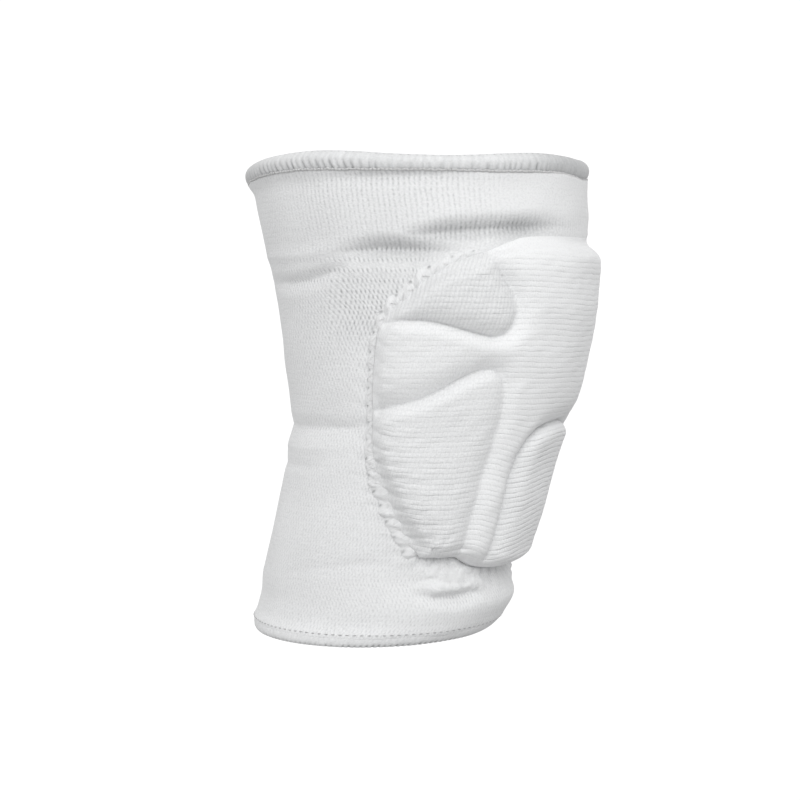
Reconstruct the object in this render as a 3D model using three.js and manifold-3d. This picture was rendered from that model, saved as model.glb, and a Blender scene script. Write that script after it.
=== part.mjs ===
// A volleyball knee pad in the form that it has on a slightly bent leg: a knitted sleeve with a rolled hem
// at each end, and foam segments on its front and sides inside a raised seam. Millimetres, +Z up the thigh.
// The front of the knee faces -Y, and the origin is the middle of the leg's hollow at the height of the knee.
import * as THREE from 'three';
import { mergeVertices } from 'three/addons/utils/BufferGeometryUtils.js';
import Module from 'manifold-3d';

const wasm = await Module();
wasm.setup();

// Sleeve: outside sizes at the thigh rim, at the narrowest place below the knee and at the calf rim
const thighReach = 95;
const thighDepth = 144;
const thighWidth = 126;
const waistDepth = 99;
const waistWidth = 103;
const calfReach = 94;
const calfDepth = 110;
const calfWidth = 102;
const calfTilt = 3.5;
const calfSetback = 17;
const wall = 2;
const gap = 0.3;

// Hems: rolled bands that cap the sleeve's rims
const topHemHeight = 6.5;
const topHemDepth = 6;
const bottomHemHeight = 5;
const bottomHemDepth = 4.6;
const hemOverhangFront = 0.5;
const hemOverhangBack = 4;

// Pad: reach above and below the knee, and the angle from the front at which its seam runs
const padTop = 69;
const padBottom = 69;
const seamAngle = 90;
const frontThickness = 16.5;
const sideThickness = 9;
const edgeThickness = 3;
const groove = 1.8;
const grooveShoulder = 9;
const tipShoulder = 5;
const headShoulder = 30;
const footShoulder = 45;
const rootShoulder = 20;
const seamShoulder = 16;
const seamWidth = 5;
const seamThickness = 2.2;
const seamLift = 0.45;

// Level is a share of thighReach above the knee and of calfReach below it. Flare is a share of the way from
// the narrowest section to the rim's section, and setback is a share of calfSetback.
const legSections = [
  { level: -1.04, flare: 0.6, setback: 1.24 },
  { level: -0.97, flare: 0.9, setback: 1.06 },
  { level: -0.88, flare: 1.1, setback: 0.9 },
  { level: -0.81, flare: 0.85, setback: 0.94 },
  { level: -0.61, flare: 0.25, setback: 0.85 },
  { level: -0.33, flare: 0.0, setback: 0.57 },
  { level: -0.11, flare: 0.06, setback: 0.27 },
  { level: 0.11, flare: 0.26, setback: 0.13 },
  { level: 0.42, flare: 0.52, setback: 0.01 },
  { level: 0.58, flare: 0.67, setback: -0.02 },
  { level: 0.7, flare: 0.85, setback: -0.07 },
  { level: 0.8, flare: 0.95, setback: -0.07 },
  { level: 0.92, flare: 0.99, setback: 0.0 },
  { level: 1.02, flare: 1.0, setback: 0.02 },
];

// Folds of the knit, alike on both sides. From and to are degrees from the front, start and end are levels,
// and depth and width are shares of the wall: a hollow has a positive depth and a bulge a negative one.
const folds = [
  { from: 8, to: 102, start: 0.83, end: 0.66, depth: 0.9, width: 1.7 },
  { from: 20, to: 110, start: 0.93, end: 0.79, depth: -0.3, width: 2.4 },
  { from: 90, to: 190, start: 0.63, end: 0.52, depth: 0.8, width: 1.9 },
  { from: 86, to: 190, start: -0.07, end: -0.11, depth: 0.9, width: 1.8 },
  { from: 90, to: 190, start: -0.17, end: -0.2, depth: -0.6, width: 2.0 },
  { from: -10, to: 66, start: -0.89, end: -0.81, depth: 0.7, width: 1.5 },
];

// Side segments, where across is a share of seamAngle. The other columns are shares of padTop above the knee
// and of padBottom below it: the upper segment's head and foot, then the lower segment's head and foot.
const sideStations = [
  { across: 0.38, upperHead: 0.6, upperFoot: 0.58, lowerHead: 0.06, lowerFoot: -0.84 },
  { across: 0.415, upperHead: 0.63, upperFoot: 0.54, lowerHead: 0.2, lowerFoot: -0.9 },
  { across: 0.44, upperHead: 0.71, upperFoot: 0.46, lowerHead: 0.235, lowerFoot: -0.905 },
  { across: 0.49, upperHead: 0.8, upperFoot: 0.415, lowerHead: 0.245, lowerFoot: -0.91 },
  { across: 0.56, upperHead: 0.86, upperFoot: 0.435, lowerHead: 0.21, lowerFoot: -0.9 },
  { across: 0.64, upperHead: 0.86, upperFoot: 0.465, lowerHead: 0.145, lowerFoot: -0.85 },
  { across: 0.73, upperHead: 0.8, upperFoot: 0.505, lowerHead: 0.085, lowerFoot: -0.73 },
  { across: 0.82, upperHead: 0.7, upperFoot: 0.53, lowerHead: 0.045, lowerFoot: -0.57 },
  { across: 0.92, upperHead: 0.585, upperFoot: 0.545, lowerHead: 0.03, lowerFoot: -0.36 },
  { across: 0.98, upperHead: 0.5, upperFoot: 0.48, lowerHead: 0.02, lowerFoot: -0.15 },
];

// Front segments, where up is a share of padTop or padBottom, and the other columns are shares of seamAngle:
// the outer edge of the centre segment with its strips, and the half width of the shin segment.
const frontStations = [
  { up: -1.0, outer: 0.36, shin: 0.2 },
  { up: -0.95, outer: 0.385, shin: 0.27 },
  { up: -0.85, outer: 0.385, shin: 0.28 },
  { up: -0.6, outer: 0.38, shin: 0.275 },
  { up: -0.4, outer: 0.378, shin: 0.265 },
  { up: -0.28, outer: 0.375, shin: 0.25 },
  { up: -0.19, outer: 0.372, shin: 0.215 },
  { up: -0.13, outer: 0.37, shin: 0.13 },
  { up: -0.105, outer: 0.37, shin: 0.0 },
  { up: 0.04, outer: 0.37, shin: 0.0 },
  { up: 0.18, outer: 0.4, shin: 0.0 },
  { up: 0.3, outer: 0.45, shin: 0.0 },
  { up: 0.44, outer: 0.44, shin: 0.0 },
  { up: 0.58, outer: 0.4, shin: 0.0 },
  { up: 0.7, outer: 0.43, shin: 0.0 },
  { up: 0.8, outer: 0.475, shin: 0.0 },
  { up: 0.9, outer: 0.49, shin: 0.0 },
  { up: 1.0, outer: 0.4, shin: 0.0 },
];

// Heights as shares of padTop or padBottom: the shin segment's head, the ends of the strips beside it, the
// head of the centre segment, and the points of the seam behind the wings
const shinHead = -0.105;
const stripRoot = 0.12;
const stripFoot = -0.97;
const trunkHead = 0.96;
const seamBackLevels = [0.42, 0.2, 0];

// Ends of the wings as shares of seamAngle
const wingRoot = 0.3;
const wingBack = 0.985;

// First and last rows of sideStations that the seam follows
const seamFirstRow = 4;
const seamLastRow = 8;

// Form of the foam: the steepness and roundness of its shoulders, where it starts and stops thinning towards
// the sides as shares of seamAngle, and the least breadth of a block in insets
const shoulderSteepness = 2.2;
const shoulderRoundness = 0.6;
const thinningStart = 0.2;
const thinningEnd = 0.95;
const leastBreadth = 1.2;

// Degrees over which a fold fades in and out, and how far a block is rooted inside the leg before it is cut
const foldFade = 14;
const rootDepth = 3 * wall;

// Facets
const legSides = 34;
const legRows = 30;
const segmentRows = 13;
const segmentSteps = 8;
const hemSides = 8;
const seamSteps = 76;
const seamSides = 6;

const white = '#eef0f0';
const ribWhite = '#f1f2f1';

// Smooth value of a column between the rows of a table, which rise in the key's column
function smooth(rows, key, column, at) {
  const last = rows.length - 1;
  let low = 0;
  while (low < last - 1 && at > rows[low + 1][key]) low += 1;
  const slope = (row) => {
    const before = rows[Math.max(row - 1, 0)];
    const after = rows[Math.min(row + 1, last)];
    return (after[column] - before[column]) / (after[key] - before[key]);
  };
  const start = rows[low];
  const end = rows[low + 1];
  const span = end[key] - start[key];
  const t = THREE.MathUtils.clamp((at - start[key]) / span, 0, 1);
  const rise = t * t * (3 - 2 * t);
  return (
    start[column] * (1 - rise) +
    end[column] * rise +
    span * t * (1 - t) * ((1 - t) * slope(low) - t * slope(low + 1))
  );
}

const narrowest = legSections.find((row) => row.flare === 0).level;
const levelOf = (height) => height / (height > 0 ? thighReach : calfReach);
const heightOf = (level) => level * (level > 0 ? thighReach : calfReach);
const padHeight = (up) => up * (up > 0 ? padTop : padBottom);

// Half depth, half width and backward shift of the leg's outside at a height
function legAt(height) {
  const level = levelOf(height);
  const flare = smooth(legSections, 'level', 'flare', level);
  const above = level > narrowest;
  return {
    depth: (waistDepth + ((above ? thighDepth : calfDepth) - waistDepth) * flare) / 2,
    width: (waistWidth + ((above ? thighWidth : calfWidth) - waistWidth) * flare) / 2,
    back: calfSetback * smooth(legSections, 'level', 'setback', level),
  };
}

// Point on the leg's outside, lifted off it, with the angle in degrees from the front towards +X
function skin(degrees, height, lift) {
  const leg = legAt(height);
  const angle = THREE.MathUtils.degToRad(degrees);
  const normal = new THREE.Vector2(Math.sin(angle) / leg.width, -Math.cos(angle) / leg.depth).normalize();
  return new THREE.Vector3(
    leg.width * Math.sin(angle) + normal.x * lift,
    leg.back - leg.depth * Math.cos(angle) + normal.y * lift,
    height
  );
}

// How far the folds push the knit in (negative) or out at a place on the sleeve
function foldLift(degrees, height) {
  const turn = Math.abs(THREE.MathUtils.euclideanModulo(degrees + 180, 360) - 180);
  let lift = 0;
  for (const fold of folds) {
    const t = THREE.MathUtils.smoothstep(turn, fold.from, fold.to);
    const middle = heightOf(THREE.MathUtils.lerp(fold.start, fold.end, t));
    const within = Math.max(0, Math.min(turn - fold.from, fold.to - turn));
    const fade = Math.min(1, within / foldFade);
    lift -= fold.depth * wall * fade * Math.exp(-(((height - middle) / (fold.width * wall)) ** 2));
  }
  return lift;
}

const topRim = () => thighReach;
const bottomRim = (degrees) => -calfReach + calfTilt * Math.cos(THREE.MathUtils.degToRad(degrees));

// Moves every corner of a closed geometry to its place, and turns the faces outwards again after a mirroring
function reshape(geometry, place) {
  geometry.deleteAttribute('normal');
  geometry.deleteAttribute('uv');
  const merged = mergeVertices(geometry, 1e-5);
  const position = merged.getAttribute('position');
  const corner = new THREE.Vector3();
  for (let i = 0; i < position.count; i += 1) {
    corner.fromBufferAttribute(position, i);
    const placed = place(corner);
    position.setXYZ(i, placed.x, placed.y, placed.z);
  }
  const faces = merged.getIndex();
  const [a, b, c] = [new THREE.Vector3(), new THREE.Vector3(), new THREE.Vector3()];
  let volume = 0;
  for (let i = 0; i < faces.count; i += 3) {
    a.fromBufferAttribute(position, faces.getX(i));
    b.fromBufferAttribute(position, faces.getX(i + 1));
    c.fromBufferAttribute(position, faces.getX(i + 2));
    volume += a.dot(b.cross(c));
  }
  if (volume < 0) {
    for (let i = 0; i < faces.count; i += 3) {
      const first = faces.getX(i);
      faces.setX(i, faces.getX(i + 1));
      faces.setX(i + 1, first);
    }
  }
  return merged;
}

function toSolid(geometry) {
  return new wasm.Manifold(
    new wasm.Mesh({
      numProp: 3,
      vertProperties: new Float32Array(geometry.getAttribute('position').array),
      triVerts: new Uint32Array(geometry.getIndex().array),
    })
  );
}

function toGeometry(solid) {
  const mesh = solid.getMesh();
  const geometry = new THREE.BufferGeometry();
  geometry.setAttribute('position', new THREE.BufferAttribute(mesh.vertProperties, 3));
  geometry.setIndex(new THREE.BufferAttribute(mesh.triVerts, 1));
  geometry.computeVertexNormals();
  return geometry;
}

// Closed tube or plug in the leg's form. The profile's x is the lift off the leg and its y the share of the
// way from the bottom rim to the top rim.
function legTube(profile) {
  return reshape(new THREE.LatheGeometry(profile, legSides), (corner) => {
    const radius = Math.hypot(corner.x, corner.z);
    const degrees = THREE.MathUtils.radToDeg(Math.atan2(corner.x, corner.z));
    const height = THREE.MathUtils.lerp(bottomRim(degrees), topRim(degrees), corner.y);
    if (radius < 1e-6) return new THREE.Vector3(0, 0, height);
    return skin(degrees, height, radius - liftBase + foldLift(degrees, height));
  });
}

// Lifts are stored as radii above this base, because a lathe's profile can't go below zero
const liftBase = 50;

function sleeveGeometry() {
  const profile = [];
  for (let row = 0; row <= legRows; row += 1) profile.push(new THREE.Vector2(liftBase, row / legRows));
  for (let row = legRows; row >= 0; row -= 1) {
    profile.push(new THREE.Vector2(liftBase - wall, row / legRows));
  }
  profile.push(profile[0].clone());
  return legTube(profile);
}

// The leg with the sleeve on it and the clearance around that: what every pad piece is cut by
function clearanceSolid() {
  const profile = [new THREE.Vector2(0, 0)];
  for (let row = 0; row <= legRows; row += 1) profile.push(new THREE.Vector2(liftBase + gap, row / legRows));
  profile.push(new THREE.Vector2(0, 1));
  return toSolid(legTube(profile));
}

// Rolled band of oval section along a rim, on the side of it that up points to
function hemGeometry(rim, height, depth, up) {
  const torus = new THREE.TorusGeometry(liftBase, 1, hemSides, legSides);
  return reshape(torus, (corner) => {
    const degrees = THREE.MathUtils.radToDeg(Math.atan2(corner.y, corner.x));
    const out = Math.hypot(corner.x, corner.y) - liftBase;
    const edge = rim(degrees);
    const behind = (1 - Math.cos(THREE.MathUtils.degToRad(degrees))) / 2;
    const overhang = THREE.MathUtils.lerp(hemOverhangFront, hemOverhangBack, behind);
    const lift = overhang + (depth / 2) * (out - 1);
    const placed = skin(degrees, edge, lift);
    placed.z = edge + up * (gap + (height / 2) * (1 + corner.z));
    return placed;
  });
}

// Share of the full thickness at a distance from a segment's edge
function shoulder(distance, width) {
  const share = THREE.MathUtils.clamp(distance / width, 0, 1);
  return (1 - (1 - share) ** shoulderSteepness) ** shoulderRoundness;
}

// Foam is thickest over the kneecap and thinner round the sides
function fullThickness(degrees) {
  const across = Math.abs(degrees) / seamAngle;
  const side = THREE.MathUtils.smoothstep(across, thinningStart, thinningEnd);
  return THREE.MathUtils.lerp(frontThickness, sideThickness, side);
}

// Block over a segment's outline. Rows run from start to end, each row runs from its low to its high edge,
// and place turns both into an angle and a height. The outline lies inset from the middle of the grooves
// round it, and lift gives the height of the top off the leg.
function segmentBlock({ start, end, edges, place, length, breadth }, inset, lift) {
  const block = new THREE.BoxGeometry(1, 1, 1, segmentRows, segmentSteps, 1);
  const even = (share) => (1 - Math.cos(Math.PI * share)) / 2;
  const geometry = reshape(block, (corner) => {
    const along = THREE.MathUtils.lerp(inset, length - inset, even(corner.x + 0.5));
    const at = THREE.MathUtils.lerp(start, end, along / length);
    const { low, high } = edges(at);
    const wide = (high - low) * breadth;
    const far = Math.max(wide - inset, inset * leastBreadth);
    const over = THREE.MathUtils.lerp(inset, far, even(corner.y + 0.5));
    const { degrees, height } = place(at, low + over / breadth);
    return skin(degrees, height, corner.z > 0 ? lift(along, over, wide, degrees) : -rootDepth);
  });
  return toSolid(geometry);
}

// One foam segment. Its shoulders are the widths over which the foam rises from each edge of the outline.
function segmentSolid(segment) {
  const { length, shoulders } = segment;
  return segmentBlock(segment, groove / 2, (along, over, wide, degrees) => {
    const rise =
      shoulder(along, shoulders.start) *
      shoulder(length - along, shoulders.end) *
      shoulder(over, shoulders.low) *
      shoulder(wide - over, shoulders.high);
    return edgeThickness + (fullThickness(degrees) - edgeThickness) * rise;
  });
}

// Room that a segment and the clearance round it take out of the centre segment
const segmentRoom = (segment) => segmentBlock(segment, groove / 2 - gap, () => 2 * frontThickness);

// Length of a degree round the leg at the knee
const degreeLength = ((thighDepth + waistWidth) / 4) * THREE.MathUtils.degToRad(1);
const acrossLength = seamAngle * degreeLength;

// Segment whose rows stand upright, side by side round the leg
function uprightSegment(side, start, end, lowColumn, highColumn, shoulders) {
  return {
    start,
    end,
    edges: (at) => ({
      low: padHeight(smooth(sideStations, 'across', lowColumn, at)),
      high: padHeight(smooth(sideStations, 'across', highColumn, at)),
    }),
    place: (at, height) => ({ degrees: side * at * seamAngle, height }),
    length: (end - start) * acrossLength,
    breadth: 1,
    shoulders,
  };
}

// Segment whose rows lie level, one above the other
function levelSegment(side, start, end, edges, shoulders) {
  return {
    start,
    end,
    edges,
    place: (at, across) => ({ degrees: side * across * seamAngle, height: padHeight(at) }),
    length: padHeight(end) - padHeight(start),
    breadth: acrossLength,
    shoulders,
  };
}

function upperSegment(side) {
  const first = sideStations[1].across;
  const last = sideStations[seamLastRow].across;
  const shoulders = { start: tipShoulder, end: seamShoulder, low: grooveShoulder, high: seamShoulder };
  return uprightSegment(side, first, last, 'upperFoot', 'upperHead', shoulders);
}

function lowerSegment(side) {
  const first = sideStations[0].across;
  const last = sideStations[sideStations.length - 1].across;
  const shoulders = { start: grooveShoulder, end: seamShoulder, low: grooveShoulder, high: grooveShoulder };
  return uprightSegment(side, first, last, 'lowerFoot', 'lowerHead', shoulders);
}

function wingSegment(side) {
  const shoulders = { start: rootShoulder, end: seamShoulder, low: grooveShoulder, high: grooveShoulder };
  return uprightSegment(side, wingRoot, wingBack, 'lowerHead', 'upperFoot', shoulders);
}

function stripSegment(side) {
  const shinEdge = (at) => smooth(frontStations, 'up', 'shin', at);
  const edges = (at) => ({
    low: Math.max(shinEdge(at), shinEdge(at - groove / padBottom)),
    high: smooth(frontStations, 'up', 'outer', at),
  });
  const narrow = groove * 2;
  const shoulders = { start: grooveShoulder, end: rootShoulder, low: narrow, high: narrow };
  return levelSegment(side, stripFoot, stripRoot, edges, shoulders);
}

function trunkSegment() {
  const edges = (at) => {
    const half = smooth(frontStations, 'up', 'outer', at);
    return { low: -half, high: half };
  };
  const shoulders = { start: grooveShoulder, end: headShoulder, low: grooveShoulder, high: grooveShoulder };
  return levelSegment(1, shinHead, trunkHead, edges, shoulders);
}

function shinSegment() {
  const edges = (at) => {
    const half = smooth(frontStations, 'up', 'shin', at);
    return { low: -half, high: half };
  };
  const shoulders = { start: footShoulder, end: grooveShoulder, low: grooveShoulder, high: grooveShoulder };
  return levelSegment(1, -1, shinHead, edges, shoulders);
}

// The middle of the seam as a closed line of angles and heights, the same on both sides. It keeps clear of
// the segments, and its corner points lie out on the diagonal.
function seamLine() {
  const outside = groove / 2 + gap + seamWidth / 2;
  const turned = (outside / degreeLength) * Math.SQRT1_2;
  const head = padHeight(trunkHead);
  const corner = smooth(frontStations, 'up', 'outer', trunkHead) * seamAngle;
  const widest = wingBack * seamAngle + outside / degreeLength;
  const half = [
    [corner / 2, head + outside],
    [corner + turned, head + outside * Math.SQRT1_2],
  ];
  const headRows = sideStations.slice(seamFirstRow, seamLastRow + 1);
  const footRows = sideStations.slice(seamFirstRow).reverse();
  for (const row of headRows) {
    half.push([row.across * seamAngle + turned / 2, padHeight(row.upperHead) + outside]);
  }
  for (const level of seamBackLevels) half.push([widest, padHeight(level)]);
  for (const row of footRows) {
    half.push([row.across * seamAngle + turned / 2, padHeight(row.lowerFoot) - outside]);
  }
  half.push([frontStations[0].outer * seamAngle, padHeight(stripFoot) - outside]);
  half.push([frontStations[0].shin * seamAngle, -padBottom - outside]);
  const other = half.map(([degrees, height]) => [-degrees, height]).reverse();
  const points = [[0, head + outside], ...half, [0, -padBottom - outside], ...other];
  return new THREE.CatmullRomCurve3(
    points.map(([degrees, height]) => new THREE.Vector3(degrees * degreeLength, height, 0)),
    true,
    'centripetal'
  );
}

// Raised border that joins the pad to the sleeve: a low round section carried along the pad's outer edge
function seamSolid() {
  const line = seamLine();
  const torus = new THREE.TorusGeometry(liftBase, 1, seamSides, seamSteps);
  const geometry = reshape(torus, (corner) => {
    const share = THREE.MathUtils.euclideanModulo(Math.atan2(corner.y, corner.x) / (2 * Math.PI), 1);
    const point = line.getPointAt(share);
    const tangent = line.getTangentAt(share);
    const out = ((Math.hypot(corner.x, corner.y) - liftBase) * seamWidth) / 2;
    const degrees = (point.x + tangent.y * out) / degreeLength;
    return skin(degrees, point.y - tangent.x * out, seamLift + (seamThickness * (1 + corner.z)) / 2);
  });
  return toSolid(geometry);
}

function material(color, roughness) {
  return new THREE.MeshStandardMaterial({ color, roughness, metalness: 0 });
}

const group = new THREE.Group();

function addPiece(name, geometry, color) {
  const mesh = new THREE.Mesh(geometry, material(color, 0.9));
  mesh.name = name;
  group.add(mesh);
}

const clearance = clearanceSolid();
const onSleeve = (solid) => toGeometry(solid.subtract(clearance));

addPiece('sleeve', sleeveGeometry(), white);
addPiece('top_hem', hemGeometry(topRim, topHemHeight, topHemDepth, 1), white);
addPiece('bottom_hem', hemGeometry(bottomRim, bottomHemHeight, bottomHemDepth, -1), white);

let centre = segmentSolid(trunkSegment());
for (const side of [-1, 1]) {
  centre = centre.add(segmentSolid(wingSegment(side))).add(segmentSolid(stripSegment(side)));
}
const neighbours = [shinSegment()];
for (const side of [-1, 1]) neighbours.push(upperSegment(side), lowerSegment(side));
for (const neighbour of neighbours) centre = centre.subtract(segmentRoom(neighbour));
addPiece('centre_pad', onSleeve(centre), ribWhite);

addPiece('shin_pad', onSleeve(segmentSolid(shinSegment())), ribWhite);
for (const [name, side] of [['left', -1], ['right', 1]]) {
  addPiece(`upper_side_pad_${name}`, onSleeve(segmentSolid(upperSegment(side))), ribWhite);
  addPiece(`lower_side_pad_${name}`, onSleeve(segmentSolid(lowerSegment(side))), ribWhite);
}
addPiece('pad_seam', onSleeve(seamSolid()), white);

export default group;
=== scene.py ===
"""Volleyball knee pad: a knitted sleeve with rolled hems and a ribbed foam pad behind a stitched border."""

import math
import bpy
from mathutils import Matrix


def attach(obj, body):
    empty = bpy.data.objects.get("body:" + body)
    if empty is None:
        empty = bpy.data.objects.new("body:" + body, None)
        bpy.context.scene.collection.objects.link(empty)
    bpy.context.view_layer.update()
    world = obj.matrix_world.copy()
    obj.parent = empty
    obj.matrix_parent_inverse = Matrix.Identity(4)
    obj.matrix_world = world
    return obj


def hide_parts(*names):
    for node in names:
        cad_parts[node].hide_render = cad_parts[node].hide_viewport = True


bl_info = {
    "name": "Volleyball knee pad",
    "version": (1, 0, 0),
    "blender": (4, 5, 0),
    "location": "View3D > Sidebar > Knee pad",
    "description": "Knits the sleeve, the padded cover, the hems and the stitches of a volleyball knee pad",
    "category": "Object",
}

import bmesh
import bpy
import numpy as np

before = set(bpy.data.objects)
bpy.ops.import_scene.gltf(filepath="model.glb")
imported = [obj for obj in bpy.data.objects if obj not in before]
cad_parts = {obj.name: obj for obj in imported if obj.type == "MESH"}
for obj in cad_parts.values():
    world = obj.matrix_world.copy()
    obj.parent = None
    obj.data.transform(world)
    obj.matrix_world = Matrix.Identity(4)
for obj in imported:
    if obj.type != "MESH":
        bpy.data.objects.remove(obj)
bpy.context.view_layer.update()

MM = 0.001


class Table:
    """Rows of named columns, joined smoothly along the first column, which rises."""

    def __init__(self, columns, *rows):
        self.columns = columns.split()
        self.rows = np.array(rows, dtype=float)

    def at(self, column, places):
        keys = self.rows[:, 0]
        data = self.rows[:, self.columns.index(column)]
        ahead = np.minimum(np.arange(len(keys)) + 1, len(keys) - 1)
        behind = np.maximum(np.arange(len(keys)) - 1, 0)
        slopes = (data[ahead] - data[behind]) / (keys[ahead] - keys[behind])
        places = np.asarray(places, dtype=float)
        low = np.clip(np.searchsorted(keys, places, side="right") - 1, 0, len(keys) - 2)
        span = keys[low + 1] - keys[low]
        t = np.clip((places - keys[low]) / span, 0, 1)
        rise = t * t * (3 - 2 * t)
        bend = span * t * (1 - t) * ((1 - t) * slopes[low] - t * slopes[low + 1])
        return data[low] * (1 - rise) + data[low + 1] * rise + bend


def step(low, high, values):
    """Smooth rise from 0 at low to 1 at high, or a fall where low is above high."""
    t = np.clip((np.asarray(values, dtype=float) - low) / (high - low), 0, 1)
    return t * t * (3 - 2 * t)


def window(start, full, ease, end, values):
    """Smooth rise from start to full and fall from ease to end."""
    return step(start, full, values) * step(end, ease, values)


# Waves in a ripple, and the height by which their sum is divided so that it stays near 1
WAVES = 7
WAVE_PEAK = 1.6


def ripple(across, along, wavelength, seed):
    """Uneven waves of about one wavelength, from -1 to 1, the same on every run."""
    total = np.zeros(np.shape(across))
    for turn, phase, stretch in np.random.default_rng(seed).uniform(0, 1, (WAVES, 3)):
        length = wavelength * (0.7 + 0.8 * stretch)
        way = across * math.cos(math.pi * turn) + along * math.sin(math.pi * turn)
        total += np.sin(2 * math.pi * (way / length + phase))
    return total / WAVES**0.5 / WAVE_PEAK


def ring_ripple(share, length, wavelength, seed, shift=0.0):
    """Uneven waves round a ring of a length in millimetres, which close on themselves."""
    total = np.zeros(np.shape(share))
    for phase, stretch, slant in np.random.default_rng(seed).uniform(0, 1, (WAVES, 3)):
        turns = round(length / (wavelength * (0.7 + 0.8 * stretch)))
        total += np.sin(2 * math.pi * (turns * share + phase + shift * (0.6 + slant)))
    return total / WAVES**0.5 / WAVE_PEAK


# The leg's outside: half depth, half width and backward shift in millimetres by height in millimetres
LEG = Table(
    "height depth width back",
    (-98, 51.2, 51.2, 21.0), (-91, 54.5, 51.0, 18.0), (-83, 55.5, 51.0, 15.3), (-76, 54.2, 51.1, 16.0),
    (-70, 52.0, 51.2, 16.6), (-57, 50.9, 51.4, 14.4), (-31, 49.5, 51.5, 9.7), (-10, 50.9, 52.2, 4.6),
    (10.5, 55.4, 54.5, 2.2), (40, 61.2, 57.5, 0.2), (55, 64.6, 59.2, -0.3), (66.5, 69.4, 61.3, -2.0),
    (76, 71.1, 62.4, -1.4), (87, 71.8, 62.9, 0.0), (97, 72.0, 63.0, 0.3),
)

# Folds of the knit, alike on both sides: the valley's height by degrees from the front, its depth, how far its
# slopes reach above and below it, and how late the upper one turns down, where a negative depth is a bulge
FOLDS = [
    Table("degrees height depth above below turn", *rows)
    for rows in (
        (
            (0, 72.4, 0.1, 6, 7, 1.2), (12, 72.8, 0.4, 6.4, 8, 1.3), (20, 73.2, 1.0, 6.6, 9, 1.4),
            (35, 72.9, 3.2, 6.8, 10, 1.5), (46, 72.0, 4.5, 6.8, 10, 1.6), (57, 70.9, 5.0, 6.6, 10, 1.6),
            (67, 70.2, 4.4, 6.0, 9, 1.6), (74, 69.4, 2.4, 5.2, 6, 1.8), (80, 69.6, 0, 5, 4, 2.0),
        ),
        (
            (56, 62.4, 0, 5, 6, 1.6), (67.5, 63.0, 2.2, 5.6, 9, 1.4), (74, 63.6, 4.2, 5.8, 10, 1.4),
            (80, 64.0, 4.6, 6.0, 10, 1.5), (86.5, 64.2, 4.3, 6.0, 10, 1.5), (93, 63.8, 3.2, 5.6, 10, 1.5),
            (99, 62.8, 1.5, 5, 8, 1.6), (106, 61, 0, 5, 6, 1.6),
        ),
        (
            (97, 57.6, 0, 5, 6, 1.6), (104, 55.4, 1.1, 4.4, 6, 1.4), (111, 53.3, 1.9, 4.4, 7, 1.4),
            (119, 51.7, 2.2, 4.4, 7, 1.4), (130, 50.7, 2.1, 4.4, 7, 1.4), (145, 50.6, 1.2, 4.4, 6, 1.4),
            (157, 50.6, 0.2, 4.6, 6, 1.6), (180, 50.6, 0.0, 5, 6, 1.6),
        ),
        ((96, 66, 0, 5, 6, 1.6), (115, 62, -0.6, 5, 5, 1.6), (150, 61, -0.5, 5, 5, 1.6), (180, 61, -0.1, 5, 5, 1.6)),
        (
            (88, -7, 0, 5, 5, 1.5), (96, -8, 1.0, 5, 6, 1.5), (120, -9, 1.4, 6, 6, 1.5),
            (160, -10, 1.0, 6, 6, 1.5), (180, -10, 0.8, 6, 6, 1.5),
        ),
        ((90, -16, 0, 5, 5, 1.6), (125, -18, -0.7, 6, 6, 1.6), (180, -19, -0.6, 6, 6, 1.6)),
        ((104, -25, 0, 4, 4, 1.6), (130, -26, 0.6, 4, 4, 1.6), (180, -27, 0.5, 4, 4, 1.6)),
        (
            (8, -72.6, 0, 2, 5, 1.0), (17, -73.8, 0.2, 2.4, 5, 1.0), (24, -76, 1.3, 2.6, 5, 1.1),
            (31, -77.2, 3.2, 3.4, 7, 1.2), (40, -78.2, 3.2, 3.6, 7, 1.2), (48, -78, 2.2, 3.4, 6, 1.2),
            (60, -76.5, 0, 2.6, 5, 1.1),
        ),
        ((56, 92.5, 0, 2, 5, 1), (70, 92.5, 1.0, 2, 6, 1), (88, 92.6, 1.2, 2, 6, 1), (108, 92.6, 0, 2, 5, 1)),
        ((62, -64, 0, 5, 6, 1.6), (82, -64, 0.5, 5, 6, 1.6), (130, -72, 0, 5, 6, 1.6)),
    )
]

# Top and foot of the upper hem, and foot of the lower one, by degrees from the front
TOP_EDGE = Table(
    "degrees height",
    (0, 101.4), (14, 101.9), (31, 102.0), (43, 101.3), (53, 100.5), (63, 100.2), (72, 100.4), (83, 101.0),
    (92, 102.0), (102, 102.8), (113, 103.1), (130, 102.2), (148, 101.0), (165, 99.8), (180, 99.4),
)
TOP_FOOT = Table(
    "degrees height",
    (0, 92.9), (14, 94.2), (22, 94.8), (36, 94.6), (46, 94.3), (63, 94.5), (78, 94.7), (100, 95.4), (110, 95.8),
    (118, 95.6), (127, 95.2), (137, 94.3), (148, 93.4), (165, 92.4), (180, 92.2),
)

# Outer edge of the padded cover: degrees from the front by height, and its foot and head by degrees
COVER_EDGE = Table(
    "height degrees",
    (-61.5, 54.0), (-57, 59.0), (-51, 64.0), (-42.6, 70.0), (-34, 75.0), (-29.6, 78.3), (-23.5, 82.0), (-16, 85.3),
    (-1.6, 87.3), (7, 88.0), (21, 87.6), (29, 87.0), (34, 85.6), (40, 82.0), (46, 75.5), (52.7, 69.5), (58, 62.5),
    (60.6, 57.0), (62.5, 51.0), (64.6, 46.5), (66.5, 43.0),
)
COVER_FOOT = Table(
    "degrees height",
    (0, -69.3), (9, -69.2), (18, -68.3), (28, -66.3), (33, -64.0), (37, -62.0), (44, -61.8), (54, -61.5),
    (90, -61.5),
)
COVER_HEAD = Table("degrees height", (0, 69.0), (30, 69.0), (38, 68.2), (43, 66.5), (90, 66.5))

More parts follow.
